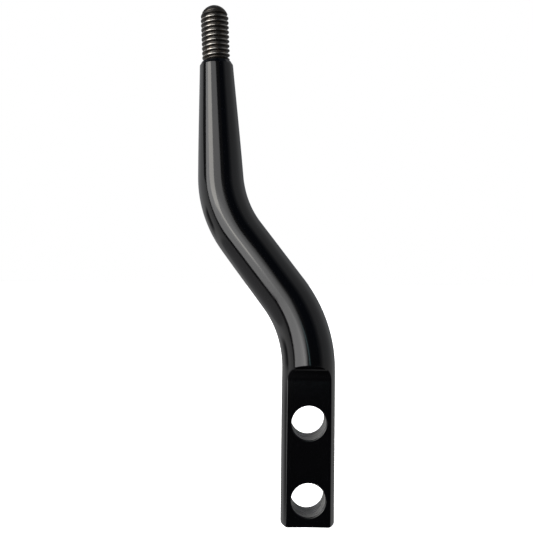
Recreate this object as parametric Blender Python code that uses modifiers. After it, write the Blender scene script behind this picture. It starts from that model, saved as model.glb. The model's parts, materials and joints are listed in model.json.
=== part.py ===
"""Gear shift lever: a bent, tapered round bar with a flat drilled tang, and a step stud for its knob.

Blender 4.5. Units are metres and +Z is up. The origin is the middle of the tang's back face, halfway between
the two bolt holes, and the tang runs along Z. The bar bends in the XZ plane.
Both pieces screw together: the stud's lower, finer thread fills the tapped hole in the bar's tip.
"""

import math

import bmesh
import bpy
from mathutils import Matrix, Vector

MM = 0.001
INCH = 0.0254

# The bar's centreline, from the tang's end upwards
TANG_RUN = 52.7 * MM  # straight length that holds the tang
LOWER_BEND_RADIUS = 42.3 * MM
LOWER_BEND_ANGLE = math.radians(37.2)  # towards -X
MIDDLE_RUN = 24.5 * MM
UPPER_BEND_RADIUS = 36.3 * MM
UPPER_BEND_ANGLE = math.radians(34.4)  # back towards +X
STEM_RUN = 38.5 * MM
LOWER_BEND_RUN = LOWER_BEND_RADIUS * LOWER_BEND_ANGLE
UPPER_BEND_RUN = UPPER_BEND_RADIUS * UPPER_BEND_ANGLE
BEND_STEP = math.radians(3.1)  # turn between two cross-sections of a bend
STEM_STEP = 13 * MM  # longest distance between two cross-sections of a straight run

# The bar's diameter where each run ends: the blank is turned to this taper and then bent
BAR_DIAMETER = 18.4 * MM
TANG_TOP_DIAMETER = 18.2 * MM
MIDDLE_START_DIAMETER = 17.2 * MM
MIDDLE_END_DIAMETER = 16.6 * MM
STEM_START_DIAMETER = 15.6 * MM
TIP_DIAMETER = 11.4 * MM
SEAT_DIAMETER = 9.8 * MM  # the tip's flat ring, round the stud
TIP_CHAMFER = 1.3 * MM
FOOT_CHAMFER = 0.7 * MM
BAR_SIDES = 48

# The tang
TANG_THICKNESS = 10.7 * MM
FOOT_TO_HOLE = 9.2 * MM
HOLE_SPACING = 26.0 * MM
HOLE_DIAMETER = 11.6 * MM  # clearance for a 7/16 inch bolt
HOLE_CHAMFER = 0.3 * MM
FLAT_RUN = 49.4 * MM  # length of each milled flat, up to the foot of its scooped end
SCOOP_RADIUS = 6.0 * MM
HOLE_SIDES = 40

# The stud, along its own axis: 0 is the bar's tip, and the parts below it are inside the bar
KNOB_THREAD_DIAMETER = 3 / 8 * INCH
KNOB_THREAD_PITCH = INCH / 16
KNOB_THREAD_START = -2.55 * MM  # the first crest, on the +X side
STUD_TOP = 19.3 * MM
DOME_RADIUS = 4.8 * MM
ROOT_THREAD_DIAMETER = 5 / 16 * INCH
ROOT_THREAD_PITCH = INCH / 18
ROOT_THREAD_START = -15.5 * MM
STUD_DEPTH = 14.0 * MM
NECK_RADIUS = 2.9 * MM
NECK_DEPTH = 1.6 * MM
NECK_STEP = 0.1 * MM  # between the two halves of the neck
STUD_CHAMFER = 1.0 * MM
GAP = 0.3 * MM  # between the stud and the bar
MOUTH_RADIUS = 4.25 * MM  # of the cone in the bar's tip, on which the stud seats
TAPPING_DRILL_RADIUS = 3.3 * MM
DRILL_DEPTH = 16.5 * MM
DRILL_POINT_ANGLE = math.radians(118)
KNOB_THREAD_SIDES = 28
ROOT_THREAD_SIDES = 20

# Proportions of a 60 degree thread, as shares of its pitch
THREAD_DEPTH = 0.56
CREST_WIDTH = 0.15
LEAST_ROOT_WIDTH = 0.03
FLANK_SLOPE = math.tan(math.radians(30))

# Where things are
AXIS_Y = -TANG_THICKNESS / 2
FOOT_Z = -HOLE_SPACING / 2 - FOOT_TO_HOLE
CUT_MARGIN = 6 * MM  # how far a cutter stands clear of the bar

MERGE = 1e-5

MATERIALS = {
    "gloss_black_coat": {"colour": (0.004, 0.004, 0.005, 1), "roughness": 0.1, "metallic": 0.0},
    "bare_steel": {"colour": (0.42, 0.41, 0.39, 1), "roughness": 0.32, "metallic": 1.0},
}


def clear_scene():
    for obj in list(bpy.data.objects):
        bpy.data.objects.remove(obj)


def new_collection(name):
    made = bpy.data.collections.new(name)
    bpy.context.scene.collection.children.link(made)
    return made


def material(name):
    look = MATERIALS[name]
    made = bpy.data.materials.new(name)
    made.use_nodes = True
    shader = made.node_tree.nodes["Principled BSDF"]
    shader.inputs["Base Color"].default_value = look["colour"]
    shader.inputs["Roughness"].default_value = look["roughness"]
    shader.inputs["Metallic"].default_value = look["metallic"]
    made.diffuse_color = look["colour"]
    return made


def evaluated_mesh(obj):
    """The object's mesh with its modifiers or its curve's bevel worked out."""
    graph = bpy.context.evaluated_depsgraph_get()
    return bpy.data.meshes.new_from_object(obj.evaluated_get(graph))


def tidy_mesh(mesh):
    """Welds the mesh's seams, closes its open ends, makes it triangles and turns every face outwards."""
    shape = bmesh.new()
    shape.from_mesh(mesh)
    bmesh.ops.remove_doubles(shape, verts=shape.verts, dist=MERGE)
    ends = bmesh.ops.holes_fill(shape, edges=[edge for edge in shape.edges if edge.is_boundary])
    bmesh.ops.poke(shape, faces=ends["faces"])
    bmesh.ops.triangulate(shape, faces=shape.faces)
    bmesh.ops.recalc_face_normals(shape, faces=shape.faces)
    shape.to_mesh(mesh)
    shape.free()


def add_object(name, mesh, collection, matrix=None):
    obj = bpy.data.objects.new(name, mesh)
    obj.matrix_world = matrix or Matrix.Identity(4)
    collection.objects.link(obj)
    return obj


def as_cutter(obj):
    obj.hide_render = True
    obj.display_type = "WIRE"
    return obj


def boolean(obj, operation, other):
    modifier = obj.modifiers.new(f"{operation.lower()}_{other.name}", "BOOLEAN")
    modifier.operation = operation
    modifier.object = other
    modifier.solver = "EXACT"


def turned(name, profile, sides, collection, matrix=None, pitch=0.0, turns=1):
    """A solid from a Screw modifier on a profile of (radius, height), listed from top to bottom.

    With a pitch the profile climbs as it turns, and a profile as tall as the pitch makes a threaded rod.
    """
    mesh = bpy.data.meshes.new(name)
    points = [(radius, 0, height) for radius, height in profile]
    mesh.from_pydata(points, [(i, i + 1) for i in range(len(points) - 1)], [])
    blank = add_object(name + "_blank", mesh, collection)
    screw = blank.modifiers.new("turn", "SCREW")
    screw.axis = "Z"
    screw.steps = screw.render_steps = sides
    screw.screw_offset = pitch
    screw.iterations = turns
    solid = evaluated_mesh(blank)
    bpy.data.objects.remove(blank)
    tidy_mesh(solid)
    return add_object(name, solid, collection, matrix)


class Path:
    """The bar's centreline, walked from the tang's end to the tip, with the bar's diameter on the way."""

    def __init__(self):
        self.place = Vector((0, AXIS_Y, FOOT_Z))
        self.lean = 0.0  # from +Z towards -X
        self.run = 0.0
        self.points = []

    def direction(self):
        return Vector((-math.sin(self.lean), 0, math.cos(self.lean)))

    def mark(self):
        self.points.append((self.place.copy(), bar_diameter(self.run) / 2))

    def straight(self, length, longest=STEM_STEP):
        steps = math.ceil(length / longest)
        for _ in range(steps):
            self.place += self.direction() * (length / steps)
            self.run += length / steps
            self.mark()

    def bend(self, radius, angle):
        """A bend towards -X for a positive angle, as chords of its arc."""
        steps = math.ceil(abs(angle) / BEND_STEP)
        turn = angle / steps
        chord = 2 * radius * math.sin(abs(turn) / 2)
        for _ in range(steps):
            self.lean += turn / 2
            self.place += self.direction() * chord
            self.lean += turn / 2
            self.run += radius * abs(turn)
            self.mark()


def diameter_stations():
    """(distance along the bar, diameter) where the blank's taper changes."""
    runs = (TANG_RUN, LOWER_BEND_RUN, MIDDLE_RUN, UPPER_BEND_RUN, STEM_RUN, TIP_CHAMFER)
    diameters = (
        TANG_TOP_DIAMETER,
        MIDDLE_START_DIAMETER,
        MIDDLE_END_DIAMETER,
        STEM_START_DIAMETER,
        TIP_DIAMETER,
        SEAT_DIAMETER,
    )
    stations = [(0.0, BAR_DIAMETER - 2 * FOOT_CHAMFER), (FOOT_CHAMFER, BAR_DIAMETER)]
    run = 0.0
    for length, diameter in zip(runs, diameters):
        run += length
        stations.append((run, diameter))
    return stations


def bar_diameter(run):
    stations = diameter_stations()
    for (start, first), (end, second) in zip(stations, stations[1:]):
        if run <= end + MERGE:
            return first + (second - first) * (run - start) / (end - start)
    return stations[-1][1]


def walk_bar():
    path = Path()
    path.mark()
    path.straight(FOOT_CHAMFER)
    path.straight(TANG_RUN - FOOT_CHAMFER)
    path.bend(LOWER_BEND_RADIUS, LOWER_BEND_ANGLE)
    path.straight(MIDDLE_RUN)
    path.bend(UPPER_BEND_RADIUS, -UPPER_BEND_ANGLE)
    path.straight(STEM_RUN)
    path.straight(TIP_CHAMFER)
    return path


def bar_blank(path, name, collection):
    """The bent bar before any cut: a curve whose bevel follows the taper, made a mesh."""
    curve = bpy.data.curves.new(name, "CURVE")
    curve.dimensions = "3D"
    curve.bevel_depth = 1.0
    curve.bevel_resolution = BAR_SIDES // 2 - 2
    curve.use_fill_caps = True
    spline = curve.splines.new("POLY")
    spline.points.add(len(path.points) - 1)
    for point, (place, radius) in zip(spline.points, path.points):
        point.co = (*place, 1)
        point.radius = radius
    guide = bpy.data.objects.new(name + "_centreline", curve)
    collection.objects.link(guide)
    mesh = evaluated_mesh(guide)
    bpy.data.objects.remove(guide)
    tidy_mesh(mesh)
    return add_object(name, mesh, collection)


def flat_cutter(side, collection):
    """Mills one flat: a block whose inner top edge is rounded, which leaves a scooped end. side is -1 or 1."""
    depth = BAR_DIAMETER
    bottom = FOOT_Z - CUT_MARGIN
    top = FOOT_Z + FLAT_RUN + SCOOP_RADIUS
    face = AXIS_Y + side * TANG_THICKNESS / 2
    bpy.ops.mesh.primitive_cube_add(size=1)
    block = bpy.context.object
    block.name = "front_flat_cutter" if side < 0 else "back_flat_cutter"
    size = (BAR_DIAMETER + 2 * CUT_MARGIN, depth, top - bottom)
    middle = (0, face + side * depth / 2, (top + bottom) / 2)
    block.data.transform(Matrix.Translation(middle) @ Matrix.Diagonal((*size, 1)))
    shape = bmesh.new()
    shape.from_mesh(block.data)
    inner_top = [
        edge
        for edge in shape.edges
        if all(abs(v.co.z - top) < MERGE and abs(v.co.y - face) < MERGE for v in edge.verts)
    ]
    bmesh.ops.bevel(shape, geom=inner_top, offset=SCOOP_RADIUS, segments=8, profile=0.5, affect="EDGES")
    shape.to_mesh(block.data)
    shape.free()
    for old in list(block.users_collection):
        old.objects.unlink(block)
    collection.objects.link(block)
    return as_cutter(block)


def hole_cutter(name, height, collection):
    """Drills one bolt hole through the tang, along Y, and chamfers both of its rims."""
    radius = HOLE_DIAMETER / 2
    half = TANG_THICKNESS / 2
    flare = HOLE_CHAMFER + CUT_MARGIN / 2
    profile = [
        (0, half + CUT_MARGIN / 2),
        (radius + flare, half + CUT_MARGIN / 2),
        (radius, half - HOLE_CHAMFER),
        (radius, HOLE_CHAMFER - half),
        (radius + flare, -half - CUT_MARGIN / 2),
        (0, -half - CUT_MARGIN / 2),
    ]
    place = Matrix.Translation((0, AXIS_Y, height)) @ Matrix.Rotation(math.radians(90), 4, "X")
    return as_cutter(turned(name, profile, HOLE_SIDES, collection, place))


def threaded_rod(name, diameter, pitch, start, turns, sides, gap, collection, matrix):
    """A right-hand threaded rod, grown by gap on every side where it is to cut the hole that the rod fills."""
    crest = diameter / 2 + gap
    crest_half = CREST_WIDTH * pitch / 2 + gap * (1 / math.cos(math.radians(30)) - FLANK_SLOPE)
    deepest = (pitch / 2 * (1 - LEAST_ROOT_WIDTH) - crest_half) / FLANK_SLOPE
    depth = min(THREAD_DEPTH * pitch, deepest)
    root = crest - depth
    flank_half = crest_half + depth * FLANK_SLOPE
    profile = [
        (root, start + pitch / 2),
        (root, start + flank_half),
        (crest, start + crest_half),
        (crest, start - crest_half),
        (root, start - flank_half),
        (root, start - pitch / 2),
    ]
    return as_cutter(turned(name, profile, sides, collection, matrix, pitch, turns))


def dome_profile(steps=9):
    """The stud's rounded end, from its top down to where it meets the thread's cylinder."""
    centre = STUD_TOP - DOME_RADIUS
    angles = [math.radians(90) * i / steps for i in range(steps + 1)]
    return [(DOME_RADIUS * math.sin(a), centre + DOME_RADIUS * math.cos(a)) for a in angles]


def stud(name, matrix, collection, helpers):
    """The step stud: two threaded rods, each trimmed to its half of the stud's outer form, joined in its neck."""
    seat_radius = MOUTH_RADIUS - GAP * math.sqrt(2)  # of the stud's cone where it passes the bar's tip
    neck_top = NECK_RADIUS - seat_radius
    joint = (neck_top - NECK_DEPTH) / 2
    upper = dome_profile() + [
        (DOME_RADIUS, DOME_RADIUS - seat_radius),
        (NECK_RADIUS, neck_top),
        (NECK_RADIUS, joint),
        (0, joint),
    ]
    body = turned(name, upper, KNOB_THREAD_SIDES, collection, matrix)
    knob_turns = math.ceil((STUD_TOP - KNOB_THREAD_START) / KNOB_THREAD_PITCH) + 2
    knob_rod = threaded_rod(
        "knob_thread",
        KNOB_THREAD_DIAMETER,
        KNOB_THREAD_PITCH,
        KNOB_THREAD_START,
        knob_turns,
        KNOB_THREAD_SIDES,
        0,
        helpers,
        matrix,
    )
    boolean(body, "INTERSECT", knob_rod)

    neck = NECK_RADIUS - NECK_STEP
    widest = ROOT_THREAD_DIAMETER / 2 + NECK_STEP
    lower = [
        (0, joint + GAP),
        (neck, joint + GAP),
        (neck, -NECK_DEPTH),
        (widest, -NECK_DEPTH - (widest - neck)),
        (widest, STUD_CHAMFER - STUD_DEPTH),
        (widest - STUD_CHAMFER, -STUD_DEPTH),
        (0, -STUD_DEPTH),
    ]
    root = as_cutter(turned("stud_root", lower, ROOT_THREAD_SIDES, helpers, matrix))
    root_rod = threaded_rod(
        "root_thread",
        ROOT_THREAD_DIAMETER,
        ROOT_THREAD_PITCH,
        ROOT_THREAD_START,
        root_turns(),
        ROOT_THREAD_SIDES,
        0,
        helpers,
        matrix,
    )
    boolean(root, "INTERSECT", root_rod)
    boolean(body, "UNION", root)
    return body


def root_turns():
    """Turns of the finer thread from below the stud's end to above the bar's tip."""
    return math.ceil(-ROOT_THREAD_START / ROOT_THREAD_PITCH) + 1


def tapped_hole_cutters(matrix, helpers):
    """The drill and its countersink, and the tap, for the hole in the bar's tip."""
    point = TAPPING_DRILL_RADIUS / math.tan(DRILL_POINT_ANGLE / 2)
    profile = [
        (0, CUT_MARGIN),
        (MOUTH_RADIUS + CUT_MARGIN, CUT_MARGIN),
        (TAPPING_DRILL_RADIUS, TAPPING_DRILL_RADIUS - MOUTH_RADIUS),
        (TAPPING_DRILL_RADIUS, -DRILL_DEPTH),
        (0, -DRILL_DEPTH - point),
    ]
    drill = as_cutter(turned("tapping_drill", profile, ROOT_THREAD_SIDES, helpers, matrix))
    tap = threaded_rod(
        "tap",
        ROOT_THREAD_DIAMETER,
        ROOT_THREAD_PITCH,
        ROOT_THREAD_START,
        root_turns(),
        ROOT_THREAD_SIDES,
        GAP,
        helpers,
        matrix,
    )
    return drill, tap


def finish(obj, look):
    obj.data.materials.clear()
    obj.data.materials.append(look)
    obj.data.shade_smooth()
    obj.data.set_sharp_from_angle(angle=math.radians(30))


def main():
    clear_scene()
    lever = new_collection("gear_shift_lever")
    cutters = new_collection("cutters")

    path = walk_bar()
    tip = Matrix.Translation(path.place) @ Matrix.Rotation(-path.lean, 4, "Y")

    bar = bar_blank(path, "lever_bar", lever)
    for side in (-1, 1):
        boolean(bar, "DIFFERENCE", flat_cutter(side, cutters))
    for name, height in (("lower_hole_cutter", -HOLE_SPACING / 2), ("upper_hole_cutter", HOLE_SPACING / 2)):
        boolean(bar, "DIFFERENCE", hole_cutter(name, height, cutters))
    for cutter in tapped_hole_cutters(tip, cutters):
        boolean(bar, "DIFFERENCE", cutter)
    finish(bar, material("gloss_black_coat"))

    knob_stud = stud("knob_stud", tip, lever, cutters)
    finish(knob_stud, material("bare_steel"))


main()
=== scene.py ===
"""A gear shift lever: a gloss black bent bar with a flat drilled tang, and the bare steel stud for its knob.

Units are metres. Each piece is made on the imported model's frame, which gives the places, and the sizes that
a user would change are in the panel's property groups.
"""

import json
import math

import bmesh
import bpy
from bpy.props import FloatProperty, FloatVectorProperty, PointerProperty
from mathutils import Matrix, Vector


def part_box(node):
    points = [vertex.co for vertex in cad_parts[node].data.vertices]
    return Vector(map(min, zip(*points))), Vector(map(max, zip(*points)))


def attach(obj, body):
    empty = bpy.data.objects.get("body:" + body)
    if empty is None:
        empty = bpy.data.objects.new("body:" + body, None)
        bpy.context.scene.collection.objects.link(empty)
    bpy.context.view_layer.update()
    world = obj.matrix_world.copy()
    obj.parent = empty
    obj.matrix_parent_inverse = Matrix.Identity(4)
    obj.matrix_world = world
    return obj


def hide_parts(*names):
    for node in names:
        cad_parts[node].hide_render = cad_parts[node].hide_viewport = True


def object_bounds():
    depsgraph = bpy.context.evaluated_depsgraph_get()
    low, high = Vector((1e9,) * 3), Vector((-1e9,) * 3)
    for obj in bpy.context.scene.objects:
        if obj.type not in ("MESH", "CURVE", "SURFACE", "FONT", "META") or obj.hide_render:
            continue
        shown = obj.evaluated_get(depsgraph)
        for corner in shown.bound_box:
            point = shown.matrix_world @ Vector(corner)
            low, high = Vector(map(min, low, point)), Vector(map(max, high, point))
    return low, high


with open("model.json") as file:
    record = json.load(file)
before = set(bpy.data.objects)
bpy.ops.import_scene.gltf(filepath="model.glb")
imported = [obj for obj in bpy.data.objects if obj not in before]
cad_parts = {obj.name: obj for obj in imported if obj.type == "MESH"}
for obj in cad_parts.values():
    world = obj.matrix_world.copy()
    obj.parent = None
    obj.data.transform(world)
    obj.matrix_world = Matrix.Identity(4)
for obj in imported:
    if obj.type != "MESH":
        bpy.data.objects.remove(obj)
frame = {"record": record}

bl_info = {
    "name": "Gear Shift Lever",
    "version": (1, 0, 0),
    "blender": (4, 5, 0),
    "location": "3D View > Sidebar > Lever",
    "description": "Builds a bent gear shift lever with a drilled tang and a knob stud, and its studio",
    "category": "Add Mesh",
}

MM = 0.001
INCH = 0.0254

CAD_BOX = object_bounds()
MOUNTS = {mount["name"]: mount for mount in frame["record"]["mounts"]}
HOLE_BOXES = [opening["box_m"] for opening in frame["record"]["physics"]["openings"]]

BACK_FACE_Y = MOUNTS["tang_back_face"]["pos_m"][1]
FRONT_FACE_Y = MOUNTS["tang_front_face"]["pos_m"][1]
AXIS_Y = (BACK_FACE_Y + FRONT_FACE_Y) / 2
FOOT_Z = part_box("lever_bar")[0][2]
HOLE_HEIGHTS = sorted((low[2] + high[2]) / 2 for low, high in HOLE_BOXES)

GAP = 0.3 * MM  # between the stud and the bar
MERGE = 1e-6
CUT_MARGIN = 6 * MM  # how far a cutter stands clear of the bar
TIP_ROUND = 0.22 * MM  # of the tip's two edges

HOLE_SIDES = 128
DRILL_SIDES = 96
KNOB_THREAD_SIDES = 96
ROOT_THREAD_SIDES = 48


def length(name, description, default):
    return FloatProperty(name=name, description=description, default=default, min=0.0, unit="LENGTH", precision=5)


def turn(name, description, degrees):
    return FloatProperty(name=name, description=description, default=math.radians(degrees), unit="ROTATION")


def colour(name, description, default):
    return FloatVectorProperty(
        name=name, description=description, default=default, size=3, min=0.0, max=1.0, subtype="COLOR"
    )


class LeverBarSizes(bpy.types.PropertyGroup):
    tang_run: length("Tang Run", "Straight length from the foot to the lower bend", 52.7 * MM)
    lower_radius: length("Lower Bend Radius", "Radius of the lower bend's centre line", 42.3 * MM)
    lower_angle: turn("Lower Bend", "How far the lower bend leans the bar over", 37.2)
    middle_run: length("Middle Run", "Straight length between the bends", 24.5 * MM)
    upper_radius: length("Upper Bend Radius", "Radius of the upper bend's centre line", 36.3 * MM)
    upper_angle: turn("Upper Bend", "How far the upper bend brings the bar back", 34.4)
    stem_run: length("Stem Run", "Straight length from the upper bend to the tip's chamfer", 38.5 * MM)
    foot_diameter: length("Foot Diameter", "Diameter of the bar at the tang's end", 18.4 * MM)
    tang_top_diameter: length("Tang Top Diameter", "Diameter where the lower bend starts", 18.2 * MM)
    middle_low_diameter: length("Middle Low Diameter", "Diameter where the lower bend ends", 17.2 * MM)
    middle_high_diameter: length("Middle High Diameter", "Diameter where the upper bend starts", 16.6 * MM)
    stem_diameter: length("Stem Diameter", "Diameter where the upper bend ends", 15.6 * MM)
    tip_diameter: length("Tip Diameter", "Diameter below the tip's chamfer", 11.4 * MM)
    seat_diameter: length("Seat Diameter", "Diameter of the tip's flat end", 9.8 * MM)
    tip_chamfer: length("Tip Chamfer", "Height of the tip's chamfer", 1.3 * MM)
    foot_round: length("Foot Rounding", "Rounding of the foot's edge", 0.7 * MM)


class TangSizes(bpy.types.PropertyGroup):
    flat_run: length("Flat Run", "Length of the milled flats up to the foot of the scoop", 49.4 * MM)
    scoop_radius: length("Scoop Radius", "Radius that the milling cutter leaves at the flats' ends", 6.0 * MM)
    edge_round: length("Edge Rounding", "Rounding of the edges between the flats and the round bar", 0.12 * MM)
    hole_diameter: length("Hole Diameter", "Diameter of the two bolt holes", 11.6 * MM)
    rim_round: length("Rim Rounding", "Rounding of the bolt holes' rims", 0.3 * MM)


class StudSizes(bpy.types.PropertyGroup):
    knob_diameter: length("Knob Thread Diameter", "Outside diameter of the thread for the knob", 3 / 8 * INCH)
    knob_pitch: length("Knob Thread Pitch", "Pitch of the thread for the knob", INCH / 16)
    top: length("Top", "Height of the stud's rounded end above the bar's tip", 19.3 * MM)
    dome_radius: length("Dome Radius", "Radius of the stud's rounded end", 4.8 * MM)
    root_diameter: length("Root Thread Diameter", "Outside diameter of the thread in the bar", 5 / 16 * INCH)
    root_pitch: length("Root Thread Pitch", "Pitch of the thread in the bar", INCH / 18)
    depth: length("Depth", "How deep the stud reaches into the bar", 14.0 * MM)
    neck_radius: length("Neck Radius", "Radius of the neck between the two threads", 2.9 * MM)
    neck_depth: length("Neck Depth", "How deep the neck reaches into the bar", 1.6 * MM)
    mouth_radius: length("Mouth Radius", "Radius of the cone in the tip that the stud seats on", 4.25 * MM)
    drill_radius: length("Drill Radius", "Radius of the tapping drill", 3.3 * MM)
    drill_depth: length("Drill Depth", "Depth of the tapping drill", 16.5 * MM)
    crest_round: length("Crest Rounding", "Rounding of the thread's crests and roots", 0.1 * MM)


class FinishLooks(bpy.types.PropertyGroup):
    coat: colour("Coat", "The black coating", (0.0002, 0.0002, 0.0003))
    # Bore: grey painted into the bolt holes' walls as their glancing reflection, not a coating of its own.
    bore: colour("Bore", "The thin coating in the bolt holes", (0.12, 0.117, 0.114))
    steel: colour("Steel", "The stud's bare steel", (0.3, 0.288, 0.268))
    # Groove: the colour that the steel darkens towards below the thread's crests, set by depth alone.
    groove: colour("Groove", "The oily dark below the thread's crests", (0.016, 0.015, 0.0145))
    coat_roughness: FloatProperty(
        name="Coat Roughness", description="Roughness of the coating", default=0.075, min=0.0, max=1.0
    )


class StudioSetup(bpy.types.PropertyGroup):
    camera_distance: length("Camera Distance", "From the camera to the bar's centre plane", 233.6 * MM)
    camera_side: FloatProperty(
        name="Camera Side", description="Where the camera stands along X", default=-14.78 * MM, unit="LENGTH"
    )
    camera_height: length("Camera Height", "Where the camera stands along Z", 65.5 * MM)
    camera_view: turn("View", "The camera's angle of view", 42.8)
    camera_roll: turn("Roll", "How far the camera rolls to its left", 0.56)
    light_distance: FloatProperty(
        name="Light Distance", description="From the lever to each panel", default=1.2, unit="LENGTH"
    )


# ---------------------------------------------------------------- meshes and modifiers


def new_object(name, data):
    made = bpy.data.objects.new(name, data)
    bpy.context.scene.collection.objects.link(made)
    return made


def tidy_shape(mesh, poke=True):
    """Welds the seams, closes the open ends and turns every face outwards."""
    shape = bmesh.new()
    shape.from_mesh(mesh)
    bmesh.ops.remove_doubles(shape, verts=shape.verts, dist=MERGE)
    ends = bmesh.ops.holes_fill(shape, edges=[edge for edge in shape.edges if edge.is_boundary])
    if poke:
        bmesh.ops.poke(shape, faces=ends["faces"])
    bmesh.ops.recalc_face_normals(shape, faces=shape.faces)
    shape.to_mesh(mesh)
    shape.free()


def apply_stack(piece):
    """Bakes the modifier stack into the mesh."""
    graph = bpy.context.evaluated_depsgraph_get()
    finished = bpy.data.meshes.new_from_object(piece.evaluated_get(graph))
    piece.modifiers.clear()
    old = piece.data
    piece.data = finished
    bpy.data.meshes.remove(old)


def turned(name, profile, sides, place, pitch=0.0, turns=1):
    """A solid turned from (radius, height) points, listed from top to bottom, that climbs by pitch each turn."""
    mesh = bpy.data.meshes.new(name)
    points = [(radius, 0, height) for radius, height in profile]
    mesh.from_pydata(points, [(i, i + 1) for i in range(len(points) - 1)], [])
    solid = new_object(name, mesh)
    screw = solid.modifiers.new("Turn", "SCREW")
    screw.steps = screw.render_steps = sides
    screw.screw_offset = pitch
    screw.iterations = turns
    apply_stack(solid)
    tidy_shape(solid.data)
    solid.data.transform(place)
    return solid


def cut(piece, cutter, operation="DIFFERENCE"):
    """Cuts the piece with the cutter, applies the cut and removes the cutter."""
    boolean = piece.modifiers.new(cutter.name, "BOOLEAN")
    boolean.operation = operation
    boolean.object = cutter
    boolean.solver = "EXACT"
    apply_stack(piece)
    mesh = cutter.data
    bpy.data.objects.remove(cutter)
    bpy.data.meshes.remove(mesh)


def rounded(corners, radius, steps=4):
    """The open outline through the corners, with each inner corner replaced by an arc of about this radius."""
    outline = [Vector(corners[0])]
    for before, corner, after in zip(corners, corners[1:], corners[2:]):
        corner = Vector(corner)
        back = Vector(before) - corner
        forth = Vector(after) - corner
        angle = back.angle(forth)
        reach = min(radius / math.tan(angle / 2), back.length * 0.45, forth.length * 0.45)
        start = corner + back.normalized() * reach
        end = corner + forth.normalized() * reach
        for i in range(steps + 1):
            t = i / steps
            outline.append(start * (1 - t) ** 2 + corner * 2 * t * (1 - t) + end * t**2)
    outline.append(Vector(corners[-1]))
    return [tuple(point) for point in outline]


# ---------------------------------------------------------------- the bar


def smooth_step(t):
    t = min(max(t, 0.0), 1.0)
    return t * t * (3 - 2 * t)


class BarShape:
    """The bar's centre line, taper and milled flats, by distance along it from the foot."""

    def __init__(self, bar, tang):
        self.bar = bar
        self.tang = tang
        self.lower_end = bar.tang_run + bar.lower_radius * bar.lower_angle
        self.middle_end = self.lower_end + bar.middle_run
        self.upper_end = self.middle_end + bar.upper_radius * bar.upper_angle
        self.stem_end = self.upper_end + bar.stem_run
        self.tip = self.stem_end + bar.tip_chamfer
        self.half_thickness = (BACK_FACE_Y - FRONT_FACE_Y) / 2
        self.scoop_y = self.half_thickness + tang.scoop_radius
        self.taper = (
            (0.0, bar.foot_diameter / 2),
            (bar.tang_run, bar.tang_top_diameter / 2),
            (self.lower_end, bar.middle_low_diameter / 2),
            (self.middle_end, bar.middle_high_diameter / 2),
            (self.upper_end, bar.stem_diameter / 2),
            (self.stem_end, bar.tip_diameter / 2),
        )

    def place(self, run):
        """(point on the centre line, lean towards -X) at this distance from the foot."""
        bar = self.bar
        point = Vector((0, AXIS_Y, FOOT_Z))
        lean = 0.0
        pieces = (
            (bar.tang_run, None, 1),
            (bar.lower_radius * bar.lower_angle, bar.lower_radius, 1),
            (bar.middle_run, None, 1),
            (bar.upper_radius * bar.upper_angle, bar.upper_radius, -1),
            (bar.stem_run + bar.tip_chamfer, None, 1),
        )
        for stretch, radius, side in pieces:
            walked = min(run, stretch)
            if radius is None:
                point += Vector((-math.sin(lean), 0, math.cos(lean))) * walked
            else:
                after = lean + side * walked / radius
                sideways = math.cos(after) - math.cos(lean)
                upwards = math.sin(after) - math.sin(lean)
                point += Vector((sideways, 0, upwards)) * radius * side
                lean = after
            run -= walked
            if run <= 0:
                break
        return point, lean

    def radius(self, run):
        """The turned blank's radius: a smooth curve through the taper's stations."""
        stations = self.taper
        if run >= stations[-1][0]:
            return stations[-1][1]
        k = next(i for i in range(len(stations) - 1) if run <= stations[i + 1][0])

        def slope(i):
            low, high = max(i - 1, 0), min(i + 1, len(stations) - 1)
            return (stations[high][1] - stations[low][1]) / (stations[high][0] - stations[low][0])

        (start, first), (end, second) = stations[k], stations[k + 1]
        span = end - start
        t = (run - start) / span
        return (
            first * (2 * t**3 - 3 * t**2 + 1)
            + slope(k) * span * (t**3 - 2 * t**2 + t)
            + second * (3 * t**2 - 2 * t**3)
            + slope(k + 1) * span * (t**3 - t**2)
        )

    def above_flat(self, depth, height):
        """How far a point is outside the milled flat or its scoop; depth is from the centre plane."""
        rise = height - self.tang.flat_run
        if rise <= 0:
            return depth - self.half_thickness
        return self.tang.scoop_radius - math.hypot(self.scoop_y - depth, rise)

    def surface(self, run, angle, blank):
        """Distance from the centre line to the finished surface, with the milled edges rounded."""
        across = abs(math.sin(angle))
        edge = self.tang.edge_round
        low, high = self.half_thickness * 0.9, blank
        if run > self.tang.flat_run + self.tang.scoop_radius + 4 * edge:
            return blank
        for _ in range(24):
            middle = (low + high) / 2
            turned_gap = middle - blank + edge
            milled_gap = self.above_flat(middle * across, run) + edge
            if turned_gap > 0 and milled_gap > 0:
                outside = math.hypot(turned_gap, milled_gap) > edge
            else:
                outside = max(turned_gap, milled_gap) > edge
            if outside:
                high = middle
            else:
                low = middle
        return (low + high) / 2

    def scoop_rise(self, angle):
        """How high the scoop's edge climbs above the flat at this angle round the bar."""
        depth = self.radius(self.tang.flat_run) * abs(math.sin(angle))
        inside = self.tang.scoop_radius**2 - (self.scoop_y - depth) ** 2
        return math.sqrt(inside) if inside > 0 and depth > self.half_thickness else 0.0


def bar_columns(shape):
    """Angles round the bar, close together where the flats meet the round sides."""
    crease = math.asin(shape.half_thickness / shape.radius(shape.tang.flat_run))
    near = math.radians(2.4)
    quarter = [(crease - near) * i / 11 for i in range(11)]
    quarter += [crease - near + 2 * near * i / 12 for i in range(12)]
    quarter += [crease + near + (math.pi / 2 - crease - near) * i / 30 for i in range(31)]
    half = quarter + [math.pi - angle for angle in reversed(quarter[:-1])]
    return half + [math.pi + angle for angle in half[1:-1]]


def spread(start, end, step):
    """Evenly spaced values from start up to, but without, end."""
    count = max(1, round((end - start) / step))
    return [start + (end - start) * i / count for i in range(count)]


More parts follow.
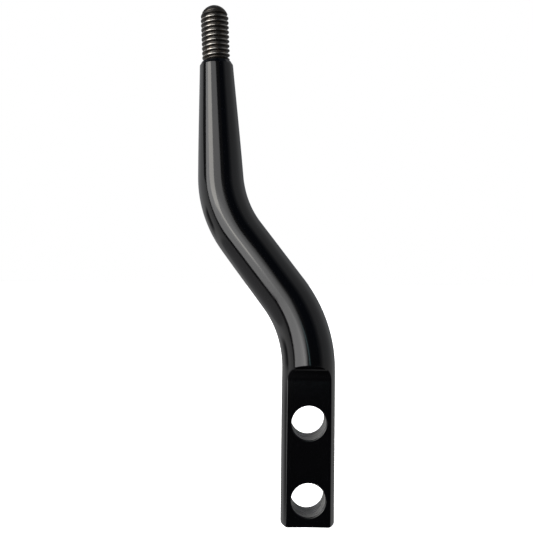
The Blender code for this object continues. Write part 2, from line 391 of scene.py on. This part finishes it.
def bar_mesh(shape):
    """The whole bar as rings of points from the foot to the tip, closed by a flat cap at both ends.

    Rings stay level up to the end of the scoops, and then tilt until they stand square to the centre line.
    """
    bar, tang = shape.bar, shape.tang
    angles = bar_columns(shape)
    rises = [shape.scoop_rise(angle) for angle in angles]
    scoop_end = tang.flat_run + tang.scoop_radius + 2 * MM
    upright_end = scoop_end + 1 * MM
    square_start = upright_end + 9 * MM
    rings = []

    def ring(runs, blank=None, inset=0.0, cut_flats=True):
        points = []
        for angle, run in zip(angles, runs):
            point, lean = shape.place(run)
            tilt = lean * smooth_step((run - upright_end) / (square_start - upright_end))
            radius = blank if blank is not None else shape.radius(run)
            if cut_flats:
                radius = shape.surface(run, angle, radius)
            radius -= inset
            side = math.cos(angle) * radius / math.cos(lean - tilt)
            points.append(point + Vector((side * math.cos(tilt), math.sin(angle) * radius, side * math.sin(tilt))))
        rings.append(points)

    # The foot's rounded edge and the straight tang
    for i in range(7):
        around = math.radians(90) * i / 6
        inset = bar.foot_round * (1 - math.sin(around))
        run = bar.foot_round * (1 - math.cos(around))
        ring([run] * len(angles), inset=inset)
    for run in spread(2 * MM, tang.flat_run - 0.4 * MM, 2.4 * MM):
        ring([run] * len(angles))

    # The scoop: its rows follow the curved edge that it leaves, crowding towards that edge
    least = 0.3 * MM
    steps = 26
    for i in range(steps):
        runs = []
        for rise in rises:
            top = math.asin(min(rise, tang.scoop_radius * 0.999) / tang.scoop_radius)
            along = tang.scoop_radius * math.sin(top * i / steps)
            runs.append(tang.flat_run + max(along, least * i / steps))
        ring(runs)
    for above in (0.0, 0.03, 0.06, 0.1, 0.15, 0.2, 0.27, 0.36, 0.5, 0.75, 1.1):
        ring([tang.flat_run + max(rise, least) + above * MM for rise in rises])
    for share in (0.25, 0.5, 0.75):
        starts = [tang.flat_run + max(rise, least) + 1.1 * MM for rise in rises]
        ring([start + (scoop_end - start) * share for start in starts])

    # The bends, the middle and the stem
    for start, end, step in (
        (scoop_end, shape.lower_end + 2 * MM, 1.0 * MM),
        (shape.lower_end + 2 * MM, shape.middle_end - 2 * MM, 2.5 * MM),
        (shape.middle_end - 2 * MM, shape.upper_end + 2 * MM, 1.0 * MM),
        (shape.upper_end + 2 * MM, shape.stem_end - 1 * MM, 2.5 * MM),
    ):
        for run in spread(start, end, step):
            ring([run] * len(angles), cut_flats=run < upright_end)

    # The tip's chamfer and its flat end
    outline = rounded(
        [
            (shape.stem_end - 1 * MM, shape.radius(shape.stem_end - 1 * MM)),
            (shape.stem_end, bar.tip_diameter / 2),
            (shape.tip, bar.seat_diameter / 2),
            (shape.tip, bar.seat_diameter / 2 - 2 * MM),
        ],
        TIP_ROUND,
    )
    for run, radius in outline:
        ring([run] * len(angles), blank=radius, cut_flats=False)

    mesh = bpy.data.meshes.new("lever_bar")
    count = len(angles)
    faces = [
        (r * count + c, r * count + (c + 1) % count, (r + 1) * count + (c + 1) % count, (r + 1) * count + c)
        for r in range(len(rings) - 1)
        for c in range(count)
    ]
    mesh.from_pydata([point for points in rings for point in points], [], faces)
    tidy_shape(mesh, poke=False)
    return mesh


def bolt_hole_cutter(tang, height):
    """A bolt hole with rounded rims, along Y."""
    radius = tang.hole_diameter / 2
    half = (BACK_FACE_Y - FRONT_FACE_Y) / 2
    outer = radius + tang.rim_round
    front = []
    for degrees in range(0, 91, 10):
        around = math.radians(degrees)
        inwards = tang.rim_round * math.sin(around)
        front.append((outer - inwards, half - tang.rim_round * (1 - math.cos(around))))
    upper = [(0, half + CUT_MARGIN), (outer + 0.2 * MM, half + CUT_MARGIN), (outer, half + 0.02 * MM)] + front
    lower = [(r, -h) for r, h in reversed(upper)]
    place = Matrix.Translation((0, AXIS_Y, height)) @ Matrix.Rotation(math.radians(90), 4, "X")
    return turned("bolt_hole", upper + lower, HOLE_SIDES, place)


# ---------------------------------------------------------------- threads

FLANK_SLOPE = math.tan(math.radians(30))
THREAD_DEPTH = 0.56  # this and the next two are shares of the pitch
CREST_WIDTH = 0.15
LEAST_ROOT_WIDTH = 0.03
KNOB_THREAD_START = -2.55 * MM  # the first crest of each thread, above the bar's tip
ROOT_THREAD_START = -15.5 * MM
STUD_CHAMFER = 1.0 * MM
NECK_STEP = 0.1 * MM  # between the neck's two halves
DRILL_POINT_ANGLE = math.radians(118)


def threaded_rod(name, diameter, pitch, start, turns, sides, place, gap=0.0, rounding=0.0):
    """A right-hand threaded rod, grown by gap on every side where it is to cut the hole that the rod fills."""
    crest = diameter / 2 + gap
    crest_half = CREST_WIDTH * pitch / 2 + gap * (1 / math.cos(math.radians(30)) - FLANK_SLOPE)
    deepest = (pitch / 2 * (1 - LEAST_ROOT_WIDTH) - crest_half) / FLANK_SLOPE
    depth = min(THREAD_DEPTH * pitch, deepest)
    root = crest - depth
    flank_half = crest_half + depth * FLANK_SLOPE
    corners = [
        (root, start + pitch / 2),
        (root, start + flank_half),
        (crest, start + crest_half),
        (crest, start - crest_half),
        (root, start - flank_half),
        (root, start - pitch / 2),
    ]
    profile = rounded(corners, rounding, 3) if rounding else corners
    return turned(name, profile, sides, place, pitch, turns)


def stud_shape(stud, tip):
    """The step stud: each half is a threaded rod trimmed to the stud's outer form, joined in the neck."""
    seat_radius = stud.mouth_radius - GAP * math.sqrt(2)
    neck_top = stud.neck_radius - seat_radius
    joint = (neck_top - stud.neck_depth) / 2
    centre = stud.top - stud.dome_radius
    dome = [
        (stud.dome_radius * math.sin(math.radians(a)), centre + stud.dome_radius * math.cos(math.radians(a)))
        for a in range(0, 91, 5)
    ]
    upper = dome + [
        (stud.dome_radius, stud.dome_radius - seat_radius),
        (stud.neck_radius, neck_top),
        (stud.neck_radius, joint),
        (0, joint),
    ]
    piece = turned("knob_stud_fine", upper, KNOB_THREAD_SIDES, tip)
    rod = threaded_rod(
        "knob_thread",
        stud.knob_diameter,
        stud.knob_pitch,
        KNOB_THREAD_START,
        math.ceil((stud.top - KNOB_THREAD_START) / stud.knob_pitch) + 2,
        KNOB_THREAD_SIDES,
        tip,
        rounding=stud.crest_round,
    )
    cut(piece, rod, "INTERSECT")

    neck = stud.neck_radius - NECK_STEP
    widest = stud.root_diameter / 2 + NECK_STEP
    lower = [
        (0, joint + GAP),
        (neck, joint + GAP),
        (neck, -stud.neck_depth),
        (widest, -stud.neck_depth - (widest - neck)),
        (widest, STUD_CHAMFER - stud.depth),
        (widest - STUD_CHAMFER, -stud.depth),
        (0, -stud.depth),
    ]
    root = turned("stud_root", lower, ROOT_THREAD_SIDES, tip)
    cut(root, root_thread(stud, tip), "INTERSECT")
    cut(piece, root, "UNION")
    return piece


def root_thread(stud, tip, gap=0.0):
    """The thread inside the bar; with a gap it is the cutter for the hole."""
    start, pitch = ROOT_THREAD_START, stud.root_pitch
    turns = math.ceil(-start / pitch) + 1
    return threaded_rod("root_thread", stud.root_diameter, pitch, start, turns, ROOT_THREAD_SIDES, tip, gap=gap)


def tapping_drill(stud, tip):
    """The drill and countersink for the tapped hole in the bar's tip."""
    point = stud.drill_radius / math.tan(DRILL_POINT_ANGLE / 2)
    profile = [
        (0, CUT_MARGIN),
        (stud.mouth_radius + CUT_MARGIN, CUT_MARGIN),
        (stud.drill_radius, stud.drill_radius - stud.mouth_radius),
        (stud.drill_radius, -stud.drill_depth),
        (0, -stud.drill_depth - point),
    ]
    return turned("tapping_drill", profile, DRILL_SIDES, tip)


def smooth_with_weighted_normals(piece, sharp_angle):
    """Smooth shading that keeps the flats flat and leaves edges over sharp_angle crisp."""
    piece.data.shade_smooth()
    piece.data.set_sharp_from_angle(angle=math.radians(sharp_angle))
    weighted = piece.modifiers.new("Weighted Normal", "WEIGHTED_NORMAL")
    weighted.mode = "FACE_AREA"
    weighted.weight = 60
    weighted.keep_sharp = True


# ---------------------------------------------------------------- shader nodes


class Socket:
    """An output socket whose arithmetic adds Math nodes."""

    def __init__(self, graph, output):
        self.graph = graph
        self.output = output

    def math(self, operation, *others):
        return self.graph.value_math(operation, self, *others)

    def __add__(self, other):
        return self.math("ADD", other)

    __radd__ = __add__

    def __sub__(self, other):
        return self.math("SUBTRACT", other)

    def __rsub__(self, other):
        return self.graph.value_math("SUBTRACT", other, self)

    def __mul__(self, other):
        return self.math("MULTIPLY", other)

    __rmul__ = __mul__

    def __truediv__(self, other):
        return self.math("DIVIDE", other)

    def __pow__(self, other):
        return self.math("POWER", other)


class Graph:
    """A material's or a world's node tree, with one method that adds any node."""

    def __init__(self, tree):
        self.tree = tree
        tree.nodes.clear()

    def node(self, kind, settings=None, pick=0, **inputs):
        """Adds a node, its settings first, then its sockets' values or links, and returns one output."""
        made = self.tree.nodes.new(kind)
        for key, value in (settings or {}).items():
            if key == "stops":
                self.set_stops(made.color_ramp, value)
            else:
                setattr(made, key, value)
        for key, value in inputs.items():
            index = int(key) if key.isdigit() else key.replace("_", " ")
            if isinstance(value, Socket):
                self.tree.links.new(value.output, made.inputs[index])
            else:
                made.inputs[index].default_value = value
        return Socket(self, made.outputs[pick]) if made.outputs else made

    def set_stops(self, ramp, stops):
        while len(ramp.elements) > 1:
            ramp.elements.remove(ramp.elements[-1])
        for i, (position, value) in enumerate(stops):
            element = ramp.elements[0] if i == 0 else ramp.elements.new(position)
            element.position = position
            element.color = (*value, 1) if isinstance(value, tuple) else (value, value, value, 1)

    def value_math(self, operation, *values):
        settings = {"operation": operation}
        return self.node("ShaderNodeMath", settings, **{str(i): v for i, v in enumerate(values)})

    def step(self, value, low, high):
        """0 below low, 1 above high, and a smooth rise between."""
        settings = {"interpolation_type": "SMOOTHSTEP"}
        return self.node("ShaderNodeMapRange", settings, Value=value, From_Min=low, From_Max=high)

    def noise(self, vector, scale, detail=2.0, roughness=0.5):
        amounts = {"Scale": scale, "Detail": detail, "Roughness": roughness}
        return self.node("ShaderNodeTexNoise", None, Vector=vector, **amounts)

    def mix(self, factor, first, second):
        """A mix of two colours; a plain colour is given as three numbers."""
        made = self.tree.nodes.new("ShaderNodeMix")
        made.data_type = "RGBA"
        for name, value in (("Factor_Float", factor), ("A_Color", first), ("B_Color", second)):
            socket = next(s for s in made.inputs if s.identifier == name)
            if isinstance(value, Socket):
                self.tree.links.new(value.output, socket)
            else:
                socket.default_value = value if isinstance(value, float) else (*value, 1)
        return Socket(self, next(s for s in made.outputs if s.identifier == "Result_Color"))

    def object_space(self, place=None):
        """Object coordinates, or those of a frame laid on the piece."""
        coordinates = self.node("ShaderNodeTexCoord", pick=3)
        if place is None:
            return coordinates
        back = place.inverted()
        return self.node(
            "ShaderNodeMapping",
            {"vector_type": "POINT"},
            Vector=coordinates,
            Location=back.translation,
            Rotation=back.to_euler(),
        )

    def parts(self, vector):
        split = self.node("ShaderNodeSeparateXYZ", None, Vector=vector).output.node
        return [Socket(self, output) for output in split.outputs]


def new_material(name):
    made = bpy.data.materials.new(name)
    made.use_nodes = True
    return made, Graph(made.node_tree)


BORE_STREAKS = (140.0, 450.0, 140.0)  # how close the boring tool's marks lie along each axis
BORE_END = 4.6 * MM  # how far from the centre plane the marks start to fade into the rim


def gloss_black_coat(looks, tang):
    """Smooth black gloss with a faint orange peel; inside the bolt holes, marked by the boring tool and painted
    grey as a reflection, most on the marks.
    """
    made, graph = new_material("gloss_black_coat")
    where = graph.object_space()
    x, y, z = graph.parts(where)
    bore = 0.0
    rim = tang.hole_diameter / 2
    inner = graph.step((y - AXIS_Y).math("ABSOLUTE"), BORE_END + 0.3 * MM, BORE_END)
    for height in HOLE_HEIGHTS:
        from_axis = (x * x + (z - height) * (z - height)) ** 0.5
        bore = bore + graph.step(from_axis, rim + 0.12 * MM, rim + 0.04 * MM)
    bore = bore * inner

    drift = graph.noise(where, 60.0, 3.0)
    smudge = graph.noise(where, 420.0, 4.0, 0.6)
    roughness = looks.coat_roughness + 0.03 * drift + 0.02 * smudge
    squeezed = graph.node("ShaderNodeMapping", {"vector_type": "POINT"}, Vector=where, Scale=BORE_STREAKS)
    streaks = graph.noise(squeezed, 1.0, 3.0)
    marked = graph.step(streaks, 0.3, 0.68)
    peel = graph.noise(where, 900.0, 1.0, 0.4)
    skin = graph.node("ShaderNodeBump", None, Strength=0.05, Distance=0.02 * MM, Height=peel)
    marks = graph.node("ShaderNodeBump", None, Strength=1.0, Distance=0.6 * MM, Height=streaks * bore, Normal=skin)
    # Inside the bolt holes the black is mixed towards the bore grey, most on the tool marks: a painted reflection,
    # while the marks' bump and roughness are real.
    tone = graph.mix(bore * (0.08 + 0.6 * marked), tuple(looks.coat), tuple(looks.bore))
    shader = graph.node(
        "ShaderNodeBsdfPrincipled",
        None,
        Base_Color=tone,
        Roughness=roughness + bore * (0.08 + 0.4 * marked),
        Normal=marks,
        IOR=1.5,
    )
    graph.node("ShaderNodeOutputMaterial", None, Surface=shader)
    return made


# The lighter band at each crest reaches this share of the thread's depth; below it the steel darkens.
CREST_BAND_SHARE = 0.1  # of the thread's depth, below its crest
OIL_FILM = (0.35, 0.27, 0.2)


def bare_steel(looks, stud, tip):
    """Threaded bare steel: lighter on the crests and darker in the grooves below them, with a painted highlight on
    the dome's top.
    """
    made, graph = new_material("bare_steel")
    where = graph.object_space()
    x, y, z = graph.parts(graph.object_space(tip))
    from_axis = (x * x + y * y) ** 0.5
    crest = stud.knob_diameter / 2
    depth = THREAD_DEPTH * stud.knob_pitch
    lighter_steel = graph.step(from_axis, crest - CREST_BAND_SHARE * depth, crest)
    # Painted highlight: the dome's top, machined steel, is mixed halfway to the lighter crest steel.
    end = graph.step(z, stud.top - 2.2 * MM, stud.top - 1.2 * MM)
    lighter_steel = lighter_steel.math("MAXIMUM", 0.5 * end)
    blotches = graph.noise(where, 700.0, 4.0, 0.6)
    grain = graph.noise(where, 5200.0, 2.0, 0.5)
    # Darker below the crests, by depth and by random blotches.
    darker_steel = (1 - lighter_steel) * (0.65 + 0.5 * blotches)
    tone = graph.mix(darker_steel.math("MINIMUM", 1.0), tuple(looks.steel), tuple(looks.groove))
    warm = graph.mix(graph.step(blotches, 0.45, 0.75) * 0.25, tone, OIL_FILM)
    lathe = graph.node("ShaderNodeBump", None, Strength=0.12, Distance=0.02 * MM, Height=grain)
    shader = graph.node(
        "ShaderNodeBsdfPrincipled",
        None,
        Base_Color=warm,
        Metallic=1.0,
        Roughness=0.17 + 0.22 * darker_steel + 0.06 * blotches,
        Normal=lathe,
    )
    graph.node("ShaderNodeOutputMaterial", None, Surface=shader)
    return made


# ---------------------------------------------------------------- the studio

# Brightness of the studio's walls by direction round the lever: 0 faces the camera, positive is to its right
WALLS = (
    (-180, 0.25),
    (-155, 0.4),
    (-128, 0.78),
    (-100, 0.98),
    (-85, 0.85),
    (-60, 0.52),
    (-36, 0.5),
    (-20, 0.018),
    (44, 0.025),
    (55, 0.14),
    (66, 0.36),
    (110, 0.46),
    (128, 0.5),
    (145, 0.3),
    (160, 0.2),
    (180, 0.25),
)

# The softbox by direction, as (azimuth, level) in degrees: its outline, its near half, its lamp's glow, its rim
SOFTBOX = (
    (-75, 55), (-75, 11), (-73, 4), (-69, -3), (-64, -10), (-58, -17), (-48, -23), (-40, -27),
    (-26, -22), (-12, -13), (3, -4), (10, 4), (15, 13), (5, 9.5), (-3, 5), (-12, 1), (-22, 4),
    (-27, 13), (-23, 30), (-23, 55),
)
SOFTBOX_NEAR_HALF = (
    (-74, 54), (-74, 11), (-72, 4), (-66, -3), (-56, -5), (-44, -8), (-26, -13), (-10, -11),
    (-14, -4), (-24, -3), (-34, 2), (-43, 10), (-47, 18), (-47, 54),
)
LAMP_GLOW = (
    (-59, 53), (-59, 16), (-53, 5), (-46, -3), (-36, -4), (-27, -6), (-19, -10), (-13, -8),
    (-19, -4), (-30, -2), (-42, 3), (-49, 10), (-54, 18), (-54, 53),
)
SOFTBOX_RIM = (
    (-99, 60), (-98, 15), (-90, 9), (-77, 4), (-73, -4), (-70, -12), (-65, -22), (-54, -30),
    (-40, -34), (-22, -30), (0, -14), (18, 4), (20, 30), (0, 60),
)
SCREEN = ((3, -10), (6, -10), (6, -3), (3, -3))  # a small blue-green light low in the room
SOFTBOX_STEPS = ((0, 1.2), (3, 2.2), (7, 2.9), (12, 3.3), (18, 3.5))  # degrees in from the far side, brightness
STEP_SPACING = 0.01  # each step is this much nearer than the last, as a share of the light's distance
PANEL_CUTS = 11  # across each triangle of a panel, so that it follows its sphere


def studio_world():
    """White to the camera. What the surfaces mirror is a dark room in front and pale walls behind."""
    world = bpy.data.worlds.new("studio")
    bpy.context.scene.world = world
    world.use_nodes = True
    graph = Graph(world.node_tree)
    direction = graph.node("ShaderNodeTexCoord", pick=0)
    x, y, z = graph.parts(direction)
    azimuth = x.math("ARCTAN2", -1 * y)
    walls = graph.node(
        "ShaderNodeValToRGB",
        {"stops": [((degrees + 180) / 360, brightness) for degrees, brightness in WALLS]},
        Fac=azimuth / (2 * math.pi) + 0.5,
    )
    level = z / (x * x + y * y) ** 0.5  # the tangent of the angle above the horizon

    def between(start, end):
        return graph.step(azimuth, math.radians(start), math.radians(end))

    table = graph.step(level, -0.5, -0.56) * between(10, -30)
    room = graph.mix(table, walls, (0.5, 0.5, 0.51))
    ceiling = graph.step(level, 1.1, 1.7).math("MAXIMUM", graph.step(level, 0.55, 0.8) * between(-60, -100))
    room = graph.mix(ceiling * 0.9, room, (0.01, 0.01, 0.012))
    bench = graph.step(level, -0.12, -0.2) * graph.step(level, -0.42, -0.33)
    bench = bench * between(-142, -106) * between(-94, -104)
    room = graph.mix(bench * 0.93, room, (0.02, 0.02, 0.022))
    room = graph.mix(graph.step(level, -0.2, 0.1) * 0.02, room, (0.0, 0.4, 1.0))  # a trace of daylight
    mirrored = graph.node("ShaderNodeBackground", None, Color=room, Strength=1.0)
    white = graph.node("ShaderNodeBackground", None, Color=(1, 1, 1, 1), Strength=1.0)
    seen = graph.node("ShaderNodeLightPath", pick=0)
    surface = graph.node("ShaderNodeMixShader", None, **{"0": seen, "1": mirrored, "2": white})
    graph.node("ShaderNodeOutputWorld", None, Surface=surface)


def towards(azimuth, level):
    """The direction at an azimuth and a level in degrees, seen from the lever."""
    side, up = math.radians(azimuth), math.radians(level)
    return Vector((math.sin(side) * math.cos(up), -math.cos(side) * math.cos(up), math.sin(up)))


def light_panel(name, outline, distance, brightness, tint=(1, 1, 1), top=1.0):
    """A glowing panel round the lever, of the outline's directions; top is the share of its glow left high up."""
    centre = Vector(((CAD_BOX[0][0] + CAD_BOX[1][0]) / 2, AXIS_Y, (CAD_BOX[0][2] + CAD_BOX[1][2]) / 2))
    shape = bmesh.new()
    corners = [shape.verts.new(centre + towards(*corner) * distance) for corner in outline]
    shape.faces.new(corners)
    bmesh.ops.triangulate(shape, faces=shape.faces)
    bmesh.ops.subdivide_edges(shape, edges=shape.edges, cuts=PANEL_CUTS, use_grid_fill=True)
    for vert in shape.verts:
        vert.co = centre + (vert.co - centre).normalized() * distance
    mesh = bpy.data.meshes.new(name)
    shape.to_mesh(mesh)
    shape.free()
    panel = new_object(name, mesh)
    made, graph = new_material(name)
    height = graph.parts(graph.object_space())[2]
    rising = graph.step(height, centre.z, centre.z + 0.16 * distance)
    colour = graph.mix(rising, tint, tuple(part * top for part in tint))
    glow = graph.node("ShaderNodeEmission", None, Color=colour, Strength=brightness)
    graph.node("ShaderNodeOutputMaterial", None, Surface=glow)
    mesh.materials.append(made)
    panel.visible_camera = False
    panel.visible_shadow = False


def softbox_panels(far):
    """The softbox, brighter step by step away from its far side; each nearer panel hides the ones behind it."""
    light_panel("softbox_rim", SOFTBOX_RIM, far * 1.1, 0.07)
    for step, (inset, brightness) in enumerate(SOFTBOX_STEPS):
        outline = []
        for azimuth, level in SOFTBOX:
            share = min(1, max(0, (azimuth + 60) / 40)) * min(1, max(0, (level + 14) / 12))
            outline.append((azimuth - inset * share, level))
        light_panel(f"softbox_{step}", outline, far * (1 - STEP_SPACING * step), brightness, top=0.6)
    light_panel("softbox_near_half", SOFTBOX_NEAR_HALF, far * 0.9, 4.0, top=0.95)
    light_panel("lamp_glow", LAMP_GLOW, far * 0.85, 8.0, (1.0, 0.98, 0.93), top=0.85)
    light_panel("screen", SCREEN, far * 0.8, 1.6, (0.55, 0.95, 1.0))


def studio_floor():
    """A plain white floor under the lever's foot, bright enough to show no horizon."""
    bpy.ops.mesh.primitive_plane_add(size=6.0, location=(0, 0, CAD_BOX[0][2]))
    floor = bpy.context.object
    floor.name = "floor"
    made, graph = new_material("white_floor")
    shader = graph.node(
        "ShaderNodeBsdfPrincipled",
        None,
        Base_Color=(0.9, 0.9, 0.9, 1),
        Roughness=0.9,
        Emission_Color=(1, 1, 1, 1),
        Emission_Strength=1.0,
    )
    graph.node("ShaderNodeOutputMaterial", None, Surface=shader)
    floor.data.materials.append(made)
    floor.visible_glossy = False


def studio_camera(studio):
    """A camera close to the lever's front, level and almost upright."""
    lens = bpy.data.cameras.new("camera")
    lens.angle = studio.camera_view
    camera = new_object("camera", lens)
    camera.location = (studio.camera_side, AXIS_Y - studio.camera_distance, studio.camera_height)
    look = Matrix.Rotation(math.radians(90), 4, "X") @ Matrix.Rotation(studio.camera_roll, 4, "Z")
    camera.rotation_euler = look.to_euler()
    bpy.context.scene.camera = camera


# ---------------------------------------------------------------- operators


class LEVER_OT_make_bar(bpy.types.Operator):
    """Make the bent bar with its milled, drilled tang and its tapped tip"""

    bl_idname = "lever.make_bar"
    bl_label = "Make Bar"

    def execute(self, context):
        settings = context.scene.lever
        shape = BarShape(settings.bar, settings.tang)
        piece = new_object("lever_bar_fine", bar_mesh(shape))
        for height in HOLE_HEIGHTS:
            cut(piece, bolt_hole_cutter(settings.tang, height))
        tip = tip_place(shape)
        cut(piece, tapping_drill(settings.stud, tip))
        cut(piece, root_thread(settings.stud, tip, gap=GAP))
        smooth_with_weighted_normals(piece, 38)
        piece.data.materials.clear()
        piece.data.materials.append(gloss_black_coat(settings.looks, settings.tang))
        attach(piece, "root")
        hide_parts("lever_bar")
        return {"FINISHED"}


def tip_place(shape):
    """The frame of the bar's tip: its origin on the tip's flat end and its Z along the stud."""
    point, lean = shape.place(shape.tip)
    return Matrix.Translation(point) @ Matrix.Rotation(-lean, 4, "Y")


class LEVER_OT_make_stud(bpy.types.Operator):
    """Make the threaded steel stud that holds the knob"""

    bl_idname = "lever.make_stud"
    bl_label = "Make Stud"

    def execute(self, context):
        settings = context.scene.lever
        tip = tip_place(BarShape(settings.bar, settings.tang))
        piece = stud_shape(settings.stud, tip)
        smooth_with_weighted_normals(piece, 40)
        piece.data.materials.clear()
        piece.data.materials.append(bare_steel(settings.looks, settings.stud, tip))
        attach(piece, "root")
        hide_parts("knob_stud")
        return {"FINISHED"}


class LEVER_OT_make_studio(bpy.types.Operator):
    """Make the white floor, the soft light panels, the surroundings and the camera"""

    bl_idname = "lever.make_studio"
    bl_label = "Make Studio"

    def execute(self, context):
        studio = context.scene.lever.studio
        context.scene.view_settings.view_transform = "Standard"
        studio_world()
        studio_floor()
        studio_camera(studio)
        softbox_panels(studio.light_distance)
        return {"FINISHED"}


class LeverSettings(bpy.types.PropertyGroup):
    bar: PointerProperty(type=LeverBarSizes)
    tang: PointerProperty(type=TangSizes)
    stud: PointerProperty(type=StudSizes)
    looks: PointerProperty(type=FinishLooks)
    studio: PointerProperty(type=StudioSetup)


class LEVER_PT_panel(bpy.types.Panel):
    bl_label = "Gear Shift Lever"
    bl_idname = "LEVER_PT_panel"
    bl_space_type = "VIEW_3D"
    bl_region_type = "UI"
    bl_category = "Lever"

    def draw(self, context):
        settings = context.scene.lever
        for operator in OPERATORS:
            self.layout.operator(operator.bl_idname)
        for group in (settings.bar, settings.tang, settings.stud, settings.looks, settings.studio):
            box = self.layout.box()
            for name in group.__annotations__:
                box.prop(group, name)


OPERATORS = (LEVER_OT_make_bar, LEVER_OT_make_stud, LEVER_OT_make_studio)
CLASSES = (
    LeverBarSizes,
    TangSizes,
    StudSizes,
    FinishLooks,
    StudioSetup,
    LeverSettings,
    *OPERATORS,
    LEVER_PT_panel,
)


def register():
    for cls in CLASSES:
        bpy.utils.register_class(cls)
    bpy.types.Scene.lever = PointerProperty(type=LeverSettings)


def unregister():
    del bpy.types.Scene.lever
    for cls in reversed(CLASSES):
        bpy.utils.unregister_class(cls)


def main():
    register()
    bpy.ops.lever.make_studio()
    bpy.ops.lever.make_bar()
    bpy.ops.lever.make_stud()


if __name__ == "__main__":
    main()
